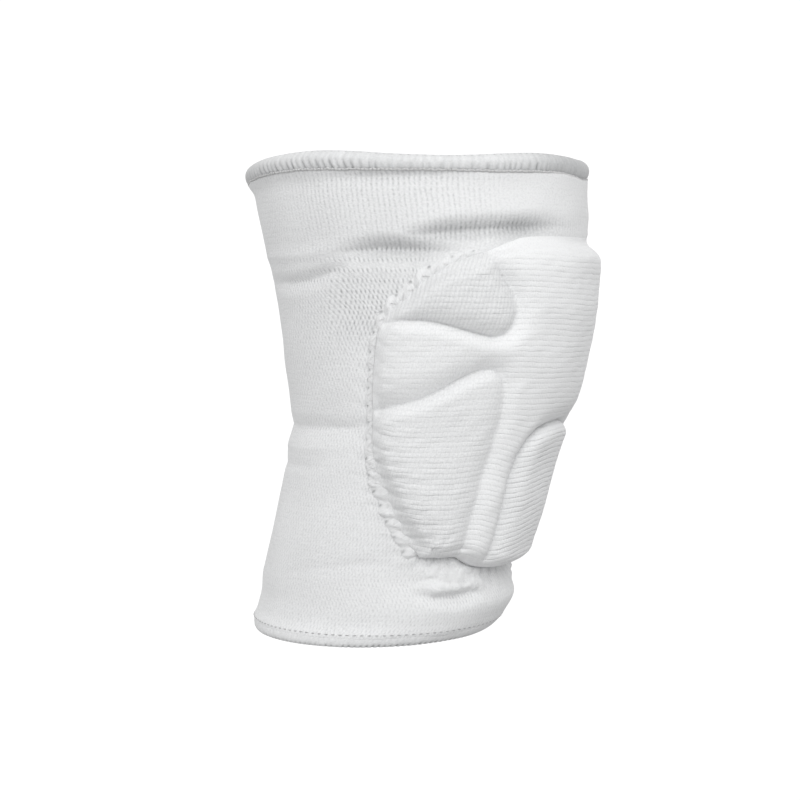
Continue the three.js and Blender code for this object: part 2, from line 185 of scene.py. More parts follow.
# Creases between the foam panels: degrees and heights, the depth, the widths of the slopes inside and outside
# the line, all in millimetres, and the sharpness from 0 to 1, which also sets how much shade is painted along it
UPPER_PANEL = (
    (97, 34.2, 2.4, 9, 6, 0.3), (84.5, 34.6, 3.0, 9, 6, 0.4), (77.5, 35.6, 3.8, 9, 6, 0.8),
    (70.5, 35.8, 4.6, 10, 6, 1.0), (64, 34.8, 5.0, 10, 6, 1.0), (57, 32.6, 5.4, 11, 6, 1.0),
    (50, 30.4, 5.4, 10, 6, 1.0), (44.5, 28.9, 5.0, 9, 6, 0.8), (40.2, 30.2, 4.2, 8, 7, 0.4),
    (38, 34, 3.8, 8, 8, 0.2), (37.5, 39, 3.8, 8, 8, 0.25), (38.6, 44, 4.2, 8, 8, 0.35), (41.5, 49.5, 4.6, 8, 8, 0.45),
    (44.4, 54, 4.4, 7, 7, 0.4), (46.6, 57.6, 3.0, 6, 7, 0.2), (49.5, 61.5, 1.0, 5, 7, 0.0),
    (54, 80, 0.0, 5, 7, 0.0), (97, 80, 0.0, 5, 7, 0.0),
)
LOWER_PANEL = (
    (97, -2.2, 3.4, 7, 12, 0.2), (86, -0.6, 3.8, 7, 13, 0.3), (77, 1.6, 4.4, 6, 14, 0.5), (68, 4.2, 4.8, 6, 14, 0.6),
    (61, 8.0, 5.2, 6, 13, 0.7), (54.5, 12.4, 5.4, 6, 12, 0.8), (48, 16.0, 5.2, 6, 12, 0.8),
    (42.6, 16.2, 4.6, 6, 11, 0.6), (39.2, 12.6, 3.6, 6, 8, 0.4), (37.6, 6, 2.8, 7, 5, 0.2), (36.8, -4, 2.6, 8, 5, 0.1),
    (37.0, -19, 2.8, 9, 5, 0.1), (37.5, -34, 3.0, 9, 5, 0.15), (38.0, -46, 3.4, 9, 5, 0.2),
    (38.4, -56, 3.8, 9, 5, 0.2), (38.8, -64, 4.0, 8, 5, 0.2), (39, -80, 4.0, 8, 5, 0.2), (97, -80, 0.0, 8, 5, 0.0),
)
SHIN_SIDE = (
    (-30, -84, 0.0, 8, 5, 0.1), (-26.4, -66, 3.4, 8, 5, 0.1), (-25, -58, 3.6, 8, 5, 0.15),
    (-24.4, -44, 4.0, 8, 5, 0.3), (-24.3, -30, 4.8, 8, 5, 0.5), (-23.6, -20, 5.4, 7, 6, 0.8),
    (-21, -13.4, 5.8, 6, 8, 1.0), (-16, -9.4, 6.0, 6, 10, 1.0), (-8, -7.4, 5.8, 6, 11, 1.0),
)
SHIN_TOP = (0, -7.0, 5.6, 6, 11, 1.0)
SHIN_PANEL = (*SHIN_SIDE, SHIN_TOP, *((-degrees, *values) for degrees, *values in reversed(SHIN_SIDE)))

# Thickness of the pad down its front, and the share of it that is left towards the sides
PAD_FRONT = Table(
    "height thickness",
    (-70, 11.0), (-66, 11.7), (-60, 12.8), (-50, 15.0), (-38, 17.0), (-22, 17.6), (-4, 17.6), (11, 17.2),
    (33, 16.0), (44, 14.6), (55, 12.5), (60, 9.8), (62, 7.6), (64, 5.0), (67, 2.0), (70, 0.8),
)
PAD_SIDE = Table("degrees share", (0, 1.0), (18, 0.99), (35, 0.9), (50, 0.78), (65, 0.66), (80, 0.56), (95, 0.5))

# How far the ribs of the cover rise above the level line, by degrees from the front
RIB_LINE_LOW = Table(
    "degrees rise",
    (0, 1.0), (6, 0.7), (14, -0.3), (20, -1.2), (25, -1.7), (30, -0.3), (35, 1.2), (40, 0.8), (50, 0.1), (90, 0),
)
RIB_LINE_HIGH = Table("degrees rise", (0, -1.6), (12, -1.2), (30, -0.2), (45, 0), (90, 0))


def leg(height):
    return LEG.at("depth", height), LEG.at("width", height), LEG.at("back", height)


def skin(degrees, height, lift):
    """Points lifted off the leg's outside, with the degrees from the front towards +X."""
    depth, width, back = leg(height)
    angle = np.radians(degrees)
    across, ahead = np.sin(angle) / width, -np.cos(angle) / depth
    length = np.hypot(across, ahead)
    return np.stack(
        (
            width * np.sin(angle) + across / length * lift,
            back - depth * np.cos(angle) + ahead / length * lift,
            np.broadcast_to(height, np.shape(angle)),
        ),
        axis=-1,
    )


def unrolled(degrees, height):
    """Millimetres round the leg at a height, with the front at zero."""
    depth, width, _ = leg(height)
    return degrees * np.radians((depth + width) / 2 + 5)


class Line:
    """Closed line on the unrolled leg with values that vary along it, rounded at its corners."""

    spacing = 1.0

    def __init__(self, rows, rounding):
        rows = np.array(rows, dtype=float)
        rows[:, 0] = unrolled(rows[:, 0], rows[:, 1])
        closed = np.vstack((rows, rows[:1]))
        lengths = np.hypot(*np.diff(closed[:, :2], axis=0).T)
        ends = np.concatenate(((0,), np.cumsum(lengths)))
        count = int(ends[-1] / self.spacing)
        places = np.arange(count) * ends[-1] / count
        samples = np.stack([np.interp(places, ends, column) for column in closed.T], axis=-1)
        reach = int(3 * rounding / self.spacing) + 1
        weights = np.exp(-0.5 * (np.arange(-reach, reach + 1) * self.spacing / max(rounding, 0.1)) ** 2)
        weights /= weights.sum()
        self.samples = sum(w * np.roll(samples, shift - reach, axis=0) for shift, w in enumerate(weights))
        forward = np.roll(self.samples, -1, axis=0)[:, :2] - self.samples[:, :2]
        self.starts = np.concatenate(((0,), np.cumsum(np.hypot(*forward.T))))
        area = np.sum(self.samples[:, 0] * forward[:, 1] - self.samples[:, 1] * forward[:, 0])
        self.turn = 1 if area > 0 else -1

    def measure(self, degrees, height):
        """Distance in millimetres, positive inside, the place along the line, and each of its values there."""
        x, y = unrolled(degrees, height), np.asarray(height, dtype=float)
        start = self.samples[:, :2]
        forward = np.roll(start, -1, axis=0) - start
        squares = np.sum(forward * forward, axis=1)
        distance = np.empty(len(x))
        along = np.empty(len(x))
        values = np.empty((len(x), self.samples.shape[1] - 2))
        onward = np.roll(self.samples, -1, axis=0)
        chunk = 4000
        for first in range(0, len(x), chunk):
            some = slice(first, first + chunk)
            dx = x[some, None] - start[None, :, 0]
            dy = y[some, None] - start[None, :, 1]
            share = np.clip((dx * forward[:, 0] + dy * forward[:, 1]) / squares, 0, 1)
            apart = np.hypot(dx - share * forward[:, 0], dy - share * forward[:, 1])
            nearest = np.argmin(apart, axis=1)
            row = np.arange(len(nearest))
            share = share[row, nearest]
            above = (start[None, :, 1] > y[some, None]) != (onward[None, :, 1] > y[some, None])
            crossing = start[:, 0] + (y[some, None] - start[:, 1]) * forward[:, 0] / np.where(
                np.abs(forward[:, 1]) < 1e-9, 1e-9, forward[:, 1]
            )
            inside = np.sum(above & (x[some, None] < crossing), axis=1) % 2
            distance[some] = np.where(inside == 1, 1, -1) * apart[row, nearest]
            along[some] = self.starts[nearest] + share * np.sqrt(squares[nearest])
            mixed = self.samples[nearest] * (1 - share[:, None]) + onward[nearest] * share[:, None]
            values[some] = mixed[:, 2:]
        return distance, along, values.T

    @property
    def length(self):
        return self.starts[-1]

    def unrolled_place(self, along):
        """Millimetres round the leg and height at a distance along the line."""
        ends = np.vstack((self.samples, self.samples[:1]))
        return [np.interp(np.mod(along, self.length), self.starts, ends[:, column]) for column in (0, 1)]

    def point(self, along, aside):
        """Degrees and height at a distance along the line and aside of it, outwards."""
        place = np.mod(along, self.length)
        x, y = self.unrolled_place(place)
        reach = 1.5
        ahead, behind = self.unrolled_place(place + reach), self.unrolled_place(place - reach)
        tx, ty = ahead[0] - behind[0], ahead[1] - behind[1]
        size = np.hypot(tx, ty)
        x = x + self.turn * ty / size * aside
        y = y - self.turn * tx / size * aside
        return x / unrolled(1.0, y), y


def cover_map(across, up):
    """Degrees and height on the cover from shares: -1 to 1 from edge to edge and 0 to 1 from foot to head."""
    side = COVER_EDGE.rows[0, 0] + (COVER_EDGE.rows[-1, 0] - COVER_EDGE.rows[0, 0]) * up
    degrees = across * COVER_EDGE.at("degrees", side)
    foot = COVER_FOOT.at("height", np.abs(degrees))
    head = COVER_HEAD.at("height", np.abs(degrees))
    return degrees, foot + (head - foot) * up


def border_rows():
    """Outer edge of the cover with the width of the foam's slope along it, which is narrow at its foot and head."""
    corners = np.array(((-1, 0), (1, 0), (1, 1), (-1, 1), (-1, 0)), dtype=float)
    shares = np.linspace(0, 1, 60)[:-1, None]
    across, up = np.concatenate([start + (end - start) * shares for start, end in zip(corners, corners[1:])]).T
    degrees, height = cover_map(across, up)
    low, high = step(-58, -62, height), step(61, 65, height)
    slope = (15 - 5 * step(28, 42, height)) * (1 - low) * (1 - high) + 6.4 * low + 6.0 * high
    return np.stack((degrees, height, slope), axis=-1)


def shoulder(share):
    """Rounded rise from 0 to 1 of the foam's edge."""
    return (1 - (1 - np.clip(share, 0, 1)) ** 2.2) ** 0.65


class KneePadSizes(bpy.types.PropertyGroup):
    wall: bpy.props.FloatProperty(
        name="Sleeve wall", description="Thickness of the knit", default=0.0018, unit="LENGTH", precision=4
    )
    rib_pitch: bpy.props.FloatProperty(
        name="Rib pitch", description="Height of one rib of the cover", default=0.00213, unit="LENGTH", precision=5
    )
    rib_height: bpy.props.FloatProperty(
        name="Rib height", description="How far a rib stands out", default=0.00016, unit="LENGTH", precision=5
    )
    stitch_pitch: bpy.props.FloatProperty(
        name="Stitch pitch", description="Length of one stitch of the border", default=0.0074, unit="LENGTH",
        precision=4,
    )
    hem_ridges: bpy.props.IntProperty(
        name="Hem ridges", description="Ridges round the upper hem", default=140, min=40, max=300
    )
    foot_ridges: bpy.props.IntProperty(
        name="Foot ridges", description="Ridges round the lower hem", default=132, min=40, max=300
    )
    wales: bpy.props.IntProperty(
        name="Wales", description="Columns of stitches round the sleeve", default=208, min=60, max=400
    )
    courses: bpy.props.IntProperty(
        name="Courses", description="Rows of stitches up the sleeve", default=93, min=40, max=400
    )


class KneePadColours(bpy.types.PropertyGroup):
    knit: bpy.props.FloatVectorProperty(
        name="Knit", description="Colour of the sleeve, the hems and the border", subtype="COLOR",
        default=(0.79, 0.795, 0.80), min=0, max=1,
    )
    cover: bpy.props.FloatVectorProperty(
        name="Cover", description="Colour of the padded cover", subtype="COLOR", default=(0.82, 0.825, 0.83),
        min=0, max=1,
    )
    thread: bpy.props.FloatVectorProperty(
        name="Thread", description="Colour of the border's and the upper hem's thread", subtype="COLOR",
        default=(0.86, 0.86, 0.86), min=0, max=1,
    )
    shade: bpy.props.FloatVectorProperty(
        name="Shade", description="Colour deep between the stitches", subtype="COLOR", default=(0.20, 0.205, 0.21),
        min=0, max=1,
    )
    backdrop: bpy.props.FloatVectorProperty(
        name="Backdrop", description="Colour of the floor and the backdrop", subtype="COLOR",
        default=(0.9, 0.9, 0.9), min=0, max=1,
    )


def sizes():
    return bpy.context.scene.knee_pad_sizes


def colours():
    return bpy.context.scene.knee_pad_colours


def woven(name, across, along, place):
    """Sheet of faces whose corners a function of two shares puts in place, welded where its edges meet.

    The function gets the shares as arrays and gives points in millimetres, the knit's own coordinates, and a
    dictionary of values that the finish reads."""
    bm = bmesh.new()
    bm.loops.layers.uv.new("knit")
    bmesh.ops.create_grid(bm, x_segments=across, y_segments=along, size=0.5, calc_uvs=True)
    mesh = bpy.data.meshes.new(name)
    bm.to_mesh(mesh)
    bm.free()
    count = len(mesh.vertices)
    flat = np.empty(count * 3)
    mesh.vertices.foreach_get("co", flat)
    shares = flat.reshape(-1, 3)[:, :2] + 0.5
    points, coordinates, values = place(shares[:, 0], shares[:, 1])
    mesh.vertices.foreach_set("co", (points * MM).ravel())
    corners = np.empty(len(mesh.loops), dtype=np.int32)
    mesh.loops.foreach_get("vertex_index", corners)
    mesh.uv_layers["knit"].data.foreach_set("uv", coordinates[corners].astype(np.float32).ravel())
    for key, data in values.items():
        attribute = mesh.attributes.new(key, "FLOAT", "POINT")
        attribute.data.foreach_set("value", np.asarray(data, dtype=np.float32))
    return mesh


def joined(name, *meshes):
    """One object from sheets that share their edges."""
    bm = bmesh.new()
    for mesh in meshes:
        bm.from_mesh(mesh)
        bpy.data.meshes.remove(mesh)
    bmesh.ops.remove_doubles(bm, verts=bm.verts, dist=1e-7)
    bmesh.ops.recalc_face_normals(bm, faces=bm.faces)
    for face in bm.faces:
        face.smooth = True
    final = bpy.data.meshes.new(name)
    bm.to_mesh(final)
    bm.free()
    piece = bpy.data.objects.new(name, final)
    bpy.context.scene.collection.objects.link(piece)
    return piece


def placed(piece, material, slot, *nodes):
    """Gives a piece its finish and hangs it on the frame in the place of the nodes that it stands for."""
    piece.data.materials.clear()
    piece.data.materials.append(material)
    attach(piece, "root")
    if nodes:
        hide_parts(*nodes)


STRAND_SIDES = 6


def strand(name, steps, radius, route):
    """Closed thread of round section along a route of degrees, height and lift by share."""

    def place(share, round_share):
        near = 0.25 / steps
        degrees, height, lift = route(share)
        centre = skin(degrees, height, lift)
        ahead = skin(*route(share + near)) - skin(*route(share - near))
        ahead /= np.linalg.norm(ahead, axis=1, keepdims=True)
        out = skin(degrees, height, lift + 1) - centre
        out -= np.sum(out * ahead, axis=1, keepdims=True) * ahead
        out /= np.linalg.norm(out, axis=1, keepdims=True)
        turn = 2 * math.pi * round_share[:, None]
        points = centre + radius * (np.cos(turn) * out + np.sin(turn) * np.cross(ahead, out))
        return points, np.stack((share * steps, round_share), axis=-1), {}

    return joined(name, woven(name, steps, STRAND_SIDES, place))


class Link:
    """Output of a shader node that takes part in Python expressions."""

    def __init__(self, nodes, output):
        self.nodes = nodes
        self.output = output

    def calc(self, operation, *values):
        return self.nodes.node("ShaderNodeMath", {"operation": operation}, dict(enumerate(values)))

    def __add__(self, other):
        return self.calc("ADD", self, other)

    __radd__ = __add__

    def __sub__(self, other):
        return self.calc("SUBTRACT", self, other)

    def __rsub__(self, other):
        return self.calc("SUBTRACT", other, self)

    def __mul__(self, other):
        return self.calc("MULTIPLY", self, other)

    __rmul__ = __mul__

    def fract(self):
        return self.calc("FRACT", self)

    def absolute(self):
        return self.calc("ABSOLUTE", self)

    def sine(self):
        return self.calc("SINE", self)

    def above(self, least):
        return self.calc("MAXIMUM", self, least)

    def below(self, most):
        return self.calc("MINIMUM", self, most)


class Nodes:
    """Node tree whose nodes all come from one method."""

    def __init__(self, tree):
        self.tree = tree
        tree.nodes.clear()

    def node(self, kind, settings=None, values=None, output=0):
        made = self.tree.nodes.new(kind)
        for key, setting in (settings or {}).items():
            setattr(made, key, setting)
        for key, value in (values or {}).items():
            if isinstance(value, Link):
                self.tree.links.new(value.output, made.inputs[key])
            else:
                made.inputs[key].default_value = value
        return Link(self, made.outputs[output]) if len(made.outputs) else None


class Finish(Nodes):
    """Fabric material that is built from expressions on its links."""

    def __init__(self, name):
        self.material = bpy.data.materials.new(name)
        self.material.use_nodes = True
        super().__init__(self.material.node_tree)

    def knit_coordinates(self):
        place = self.node("ShaderNodeUVMap", {"uv_map": "knit"})
        return [self.node("ShaderNodeSeparateXYZ", None, {0: place}, axis) for axis in ("X", "Y")]

    def value(self, name):
        return self.node("ShaderNodeAttribute", {"attribute_name": name}, None, "Fac")

    def noise(self, scale, detail=2.0):
        place = self.node("ShaderNodeTexCoord", None, None, "Object")
        return self.node("ShaderNodeTexNoise", None, {"Vector": place, "Scale": scale, "Detail": detail})

    def grain(self, across, along):
        """Uneven tone from 0 to 1 that follows the knit's own coordinates."""
        place = self.node("ShaderNodeCombineXYZ", None, {0: across, 1: along})
        return self.node(
            "ShaderNodeTexNoise", {"noise_dimensions": "2D"}, {"Vector": place, "Scale": 1.0, "Detail": 1.0}
        )

    def cloth(self, shade, colour, relief, depth, roughness):
        """Cloth that is dark where the shade is 0 and has its own colour at 1, with a relief of some millimetres."""
        ends = {6: (*colours().shade, 1), 7: (*colour, 1)}
        base = self.node("ShaderNodeMix", {"data_type": "RGBA", "clamp_factor": True}, {0: shade, **ends}, 2)
        normal = self.node("ShaderNodeBump", None, {"Strength": 1.0, "Distance": depth * MM, "Height": relief})
        shader = self.node(
            "ShaderNodeBsdfPrincipled",
            None,
            {
                "Base Color": base,
                "Roughness": roughness,
                "Specular IOR Level": 0.2,
                "Sheen Weight": 0.25,
                "Sheen Roughness": 0.5,
                "Normal": normal,
            },
        )
        self.node("ShaderNodeOutputMaterial", None, {"Surface": shader})
        return self.material


def knit_finish(name, colour):
    """Open knit: columns of loops, with staggered holes between them, level courses where it is stretched, and painted
    shade in the folds.
    """
    finish = Finish(name)
    wale, course = finish.knit_coordinates()
    slack = finish.value("slack")
    courses = finish.value("courses")
    upright = finish.value("upright")
    sway = finish.grain(wale * 0.4, course * 0.5) - 0.5
    column = ((wale + sway * 0.45) * (2 * math.pi)).sine()
    row = ((course + sway * 0.5) * math.pi).sine()
    holes = column * (row * (1 - upright) + upright * (row * row * 0.6 + 0.4))
    patchy = finish.grain(wale * 0.8 + 40.0, course * 0.9)
    half = holes * 0.5 + 0.5
    hole = half * half
    opened = hole * slack * (patchy * 1.6 + 0.2)
    level = ((course + sway * 0.7).fract() - 0.5).absolute() * 2
    broken = finish.grain(wale * 0.16, course * 1.1 + 17.0)
    bar = (level - 0.4).above(0.0) * 1.6 * courses * (broken * 1.6 - 0.25).above(0.0)
    fine = finish.grain(wale * 2.2, course * 2.6)
    tone = finish.noise(45.0, 3.0)
    wrinkle = (finish.noise(420.0, 3.0) - 0.5) * finish.value("wrinkle")
    # Painted shade deep in the folds and by the border's stitches, and painted light on the lump under the pad
    shade = 1 - (opened * 0.34 + bar * 0.09 + finish.value("deep") * 0.24 + (fine - 0.5) * 0.32 - wrinkle * 0.6)
    shade = shade.above(0.05).below(1.0) * (tone * 0.08 + 0.96)
    relief = 1 - hole * slack * 0.5 - bar * 0.18 + fine * 0.45 + wrinkle * 3.0
    return finish.cloth(shade, colour, relief, 0.34, fine * 0.08 + 0.86)


def cover_finish(name, colour):
    """Ribbed knit of the cover: level ribs with a narrow valley between them, small uneven beads, and painted shade
    along the creases and over the foam panels.
    """
    finish = Finish(name)
    across, rib = finish.knit_coordinates()
    strength = finish.value("rib")
    painted_crease_shade = finish.value("painted_crease_shade")
    sway = finish.grain(across * 0.3, rib * 0.5) - 0.5
    edge = ((rib + sway * 0.25).fract() - 0.5).absolute() * 2
    valley = (edge - 0.5).above(0.0) * 2.0
    patchy = finish.grain(across * 0.28 + 30.0, rib * 0.9)
    column = ((across + sway * 0.7) * (2 * math.pi / 1.6)).sine() * 0.5 + 0.5
    beads_and_panel_shade = finish.value("beads_and_panel_shade")
    beads = column * column * beads_and_panel_shade
    fine = finish.grain(across * 2.1, rib * 2.6)
    tone = finish.noise(40.0, 3.0)
    dip = valley * valley * strength * (patchy * 1.5 + 0.2)
    relief = 1 - dip * 0.8 - beads * 0.5 + fine * 0.6
    # Painted shade along the creases between the foam panels, and painted shade over the panels besides their beads
    shade = 1 - (dip * 0.19 + painted_crease_shade * 0.34 + beads * 0.14 + beads_and_panel_shade * 0.20 + (fine - 0.5) * 0.32).above(0.0)
    shade = shade * (tone * 0.06 + 0.97)
    return finish.cloth(shade, colour, relief, 0.2, fine * 0.08 + 0.84)


def hem_finish(name, colour, dots=0.0, tone=0.12):
    """Close knit of the hems and the border, with dark slits where it is drawn in, painted shade under the rolls and
    at the upper hem's ends, and a row of stitch dots.
    """
    finish = Finish(name)
    marks_and_painted_shade = finish.value("marks_and_painted_shade")
    along, around = finish.knit_coordinates()
    fine = finish.grain(along * 4.0, around * 30.0)
    uneven = finish.noise(60.0, 2.0)
    x = (along.fract() - 0.5) * 5.0
    y = (around - 0.165) * 90.0
    dot = (1 - (x * x + y * y)).above(0.0) * dots
    streaks = finish.grain(along * 1.7, around * 2.5)
    # Painted shade where the hems are drawn into slits under their rolls and at the upper hem's ends; the border's
    # dark stitch holes are its own marks
    shade = 1 - (marks_and_painted_shade * 0.6 + dot * 0.5 + (fine - 0.5) * 0.2 + (streaks - 0.5) * 0.26 + tone).above(0.0)
    shade = shade * (uneven * 0.06 + 0.97)
    relief = fine * 0.7 - dot + streaks * 0.8
    return finish.cloth(shade, colour, relief, 0.2, fine * 0.08 + 0.85)


def thread_finish(name, colour):
    """Twisted thread."""
    finish = Finish(name)
    along, around = finish.knit_coordinates()
    twist = ((along * 1.5 + around) * (2 * math.pi)).sine()
    uneven = finish.noise(1500.0)
    return finish.cloth(twist * 0.05 + 0.93, colour, twist + uneven * 0.4, 0.1, uneven * 0.1 + 0.75)


BORDER = Line(border_rows(), 1.2)
UPPER_CREASE = Line(UPPER_PANEL, 1.0)
LOWER_CREASE = Line(LOWER_PANEL, 1.3)
SHIN_CREASE = Line(SHIN_PANEL, 1.4)


def bottom_rim(degrees):
    """Height of the sleeve's lower end."""
    return -94.4 + 0.8 * np.cos(np.radians(degrees))


def behind(degrees):
    """Share from 0 at the front to 1 at the back."""
    return (1 - np.cos(np.radians(degrees))) / 2


def around_turn(degrees):
    """Degrees from the front, from 0 to 180."""
    return np.abs(np.mod(degrees + 180, 360) - 180)


def circled(share):
    """Degrees from the front, from -180 to 180, by the share of a round that starts at the back."""
    return 360 * share - 180


def at_end(share):
    """Whether a share is 0 or 1."""
    return (share < 1e-6) | (share > 1 - 1e-6)


def pull(along, away, side):
    """Narrow valleys, from 0 to 1, that the border's stitches pull down and inwards from their holes."""
    pitch = sizes().stitch_pitch / MM
    return (0.5 + 0.5 * np.cos(2 * math.pi * (along + 0.7 * side * away) / pitch)) ** 3


def fold_lift(turn, height):
    """Depth of the folds of the knit."""
    total = np.zeros(len(turn))
    for fold in FOLDS:
        depth = fold.at("depth", turn)
        away = height - fold.at("height", turn)
        share = np.clip(np.where(away > 0, away / fold.at("above", turn), -away / fold.at("below", turn)), 0, 1)
        power = np.where(away > 0, fold.at("turn", turn), 1.7)
        total += depth * (1 - share) ** power
    return total


def fold_under(degrees, height):
    """Depth of the folds that run on under the head of the cover."""
    return fold_lift(around_turn(degrees), height) * step(54, 60, height)


def sleeve_lift(degrees, height):
    """How far the knit stands off the leg, how open its stitches are, how wrinkled it is, and its painted shade."""
    turn = around_turn(degrees)
    across = unrolled(degrees, height)
    folds = fold_lift(turn, height)
    lift = -folds
    slack = 0.5 + 0.16 * np.clip(folds, 0, 4)
    # Painted shade deep in the folds, stronger towards the front
    deep = np.clip((folds - 0.2) / 3.0, 0, 1) * step(40, 52, height) * step(112, 92, turn)
    deep *= 1 + 1.5 * step(52, 36, turn)
    border, along, _ = BORDER.measure(degrees, height)
    outside = step(0.5, -1.5, border)
    calm = step(50, 62, height)
    near = np.exp(-np.clip(-border - 1, 0, None) / 4.0) * (1 - 0.9 * calm)
    drawn = near * pull(along, border, np.sign(degrees))
    lift -= 0.5 * drawn
    # Painted shade in the valleys that the border's stitches pull in
    deep += (0.3 + 0.7 * border_roughness(height)) * drawn
    lift += 0.3 * ripple(across, height, 26, 3) * step(178, 150, turn)
    lump = window(14, 27, 46, 56, turn) * window(-79, -75.5, -68, -60, height)
    lift += lump * (2.9 + 0.7 * ripple(across, height, 6.0, 8) + 0.4 * ripple(across, height, 3.4, 9))
    lift += 0.5 * np.exp(-(((height + 83) / 5) ** 2)) * step(34, 8, turn)
    top_gap = TOP_FOOT.at("height", turn) - height
    lift += 2.9 * behind(degrees) * np.exp(-((np.clip(top_gap, 0, None) / 3.4) ** 2))
    lift -= 1.6 * step(0.1, -1.2, top_gap)
    foot_gap = height - bottom_rim(degrees)
    lift += (0.45 + 1.5 * behind(degrees)) * np.exp(-((np.clip(foot_gap, 0, None) / 3.2) ** 2))
    lift -= 0.4 * step(0.2, -1.6, foot_gap)
    slack += 0.22 * window(35, 60, 100, 125, turn) * step(70, 88, height)
    slack += 0.20 * window(60, 85, 120, 150, turn) * window(0, 20, 55, 70, height)
    slack += 0.55 * window(66, 76, 98, 112, turn) * window(24, 34, 52, 62, height)
    slack -= 0.45 * step(80, 25, turn) * step(68, 82, height)
    slack -= 0.30 * step(115, 160, turn)
    slack -= 0.45 * window(40, 58, 66, 72, height) * step(75, 60, turn)
    slack *= 1 - 0.75 * np.exp(-np.clip(-border, 0, None) / 3.5) * calm
    slack -= 0.40 * lump
    # Painted light on the lump under the pad, where the painted shade is taken away
    deep -= 0.35 * np.clip(lump, 0, 1)
    wrinkle = 0.15 + np.clip(lump, 0, 1) + 0.6 * near * border_roughness(height)
    under = 0.35 + folds * step(54, 60, height)
    lift = lift * outside - under * (1 - outside)
    return lift, np.clip(slack, 0.04, 1.7), np.clip(wrinkle, 0, 1), deep


class OBJECT_OT_knee_pad_sleeve(bpy.types.Operator):
    """Knit the sleeve with its folds"""

    bl_idname = "object.knee_pad_sleeve"
    bl_label = "Knit the sleeve"

    def execute(self, context):
        wales, courses = sizes().wales, sizes().courses
        wall = sizes().wall / MM

        def knit(share, up, depth, shown):
            degrees = circled(share)
            turn = np.abs(degrees)
            low, high = bottom_rim(degrees) - 1.6, TOP_FOOT.at("height", turn) + 2.4
            height = low + (high - low) * up
            lift, slack, wrinkle, deep = sleeve_lift(degrees, height)
            lean = window(18, 50, 105, 165, turn) * (
                9 * step(64, 18, height) + 8 * step(-80, -42, height) - 8
            )
            lean += 3.5 * window(66, 78, 96, 112, turn) * step(66, 52, height) * step(26, 40, height)
            wale = degrees / 360 * wales + np.sign(degrees) * lean / 1.75
            course = (height - low.min()) / (high.max() - low.min()) * courses
            level = 1.0 * step(112, 146, turn) + 0.6 * step(42, 12, turn) * step(66, 80, height) + 0.12
            upright = step(40, 75, height) * step(140, 110, turn)
            return (
                skin(degrees, height, lift - depth),
                np.stack((wale, course), axis=-1),
                {
                    "slack": slack * (0.4 + 0.6 * shown),
                    "courses": level,
                    "upright": upright,
                    "wrinkle": wrinkle * shown,
                    # Painted shade of the folds, on the outside only
                    "deep": deep * shown,
                },
            )

        def outside(share, up):
            return knit(share, up, 0, 1)

        def inside(share, up):
            return knit(share, up, np.where(at_end(up), 0, wall), 0)

        columns, outer_rows, inner_rows = 300, 210, 64
        piece = joined(
            "sleeve_knit",
            woven("sleeve_outside", columns, outer_rows, outside),
            woven("sleeve_inside", columns, inner_rows, inside),
        )
        placed(piece, knit_finish("sleeve knit", colours().knit), "knit", "sleeve")
        return {"FINISHED"}


# Rounds of the two hems in millimetres, and the height whose section the upper one follows
TOP_ROUND = 400
FOOT_ROUND = 330
TOP_LEVEL = 95.0


def top_section(degrees, turn, sink):
    """Lift and height of the upper hem's surface at an angle round its section, which leans inwards."""
    foot, top = TOP_FOOT.at("height", around_turn(degrees)), TOP_EDGE.at("height", around_turn(degrees))
    half = (top - foot + 0.7) / 2
    swing, rise = np.cos(turn), np.sin(turn)
    out = (3.2 - sink) * np.sign(swing) * np.abs(swing) ** 0.85
    height = (top + foot - 0.7) / 2 + (half - 0.5 * sink) * np.sign(rise) * np.abs(rise) ** 0.9
    lean = 1.6 * np.clip((height - foot - 3.0) / (top - foot - 3.0), 0, 1) ** 2
    return 0.7 + 3.2 * behind(degrees) - 3.2 - lean + out, height


def bottom_section(degrees, turn, sink):
    """Lift and height of the lower hem's surface at an angle round its section."""
    edge = bottom_rim(degrees)
    swing, rise = np.cos(turn), np.sin(turn)
    out = (2.2 - sink) * np.sign(swing) * np.abs(swing) ** np.where(rise > 0, 0.45, 0.9)
    height = edge - 2.15 + (2.45 - 0.4 * sink) * np.sign(rise) * np.abs(rise) ** np.where(rise > 0, 0.6, 0.9)
    return 0.46 + 1.5 * behind(degrees) - 2.2 + out, height


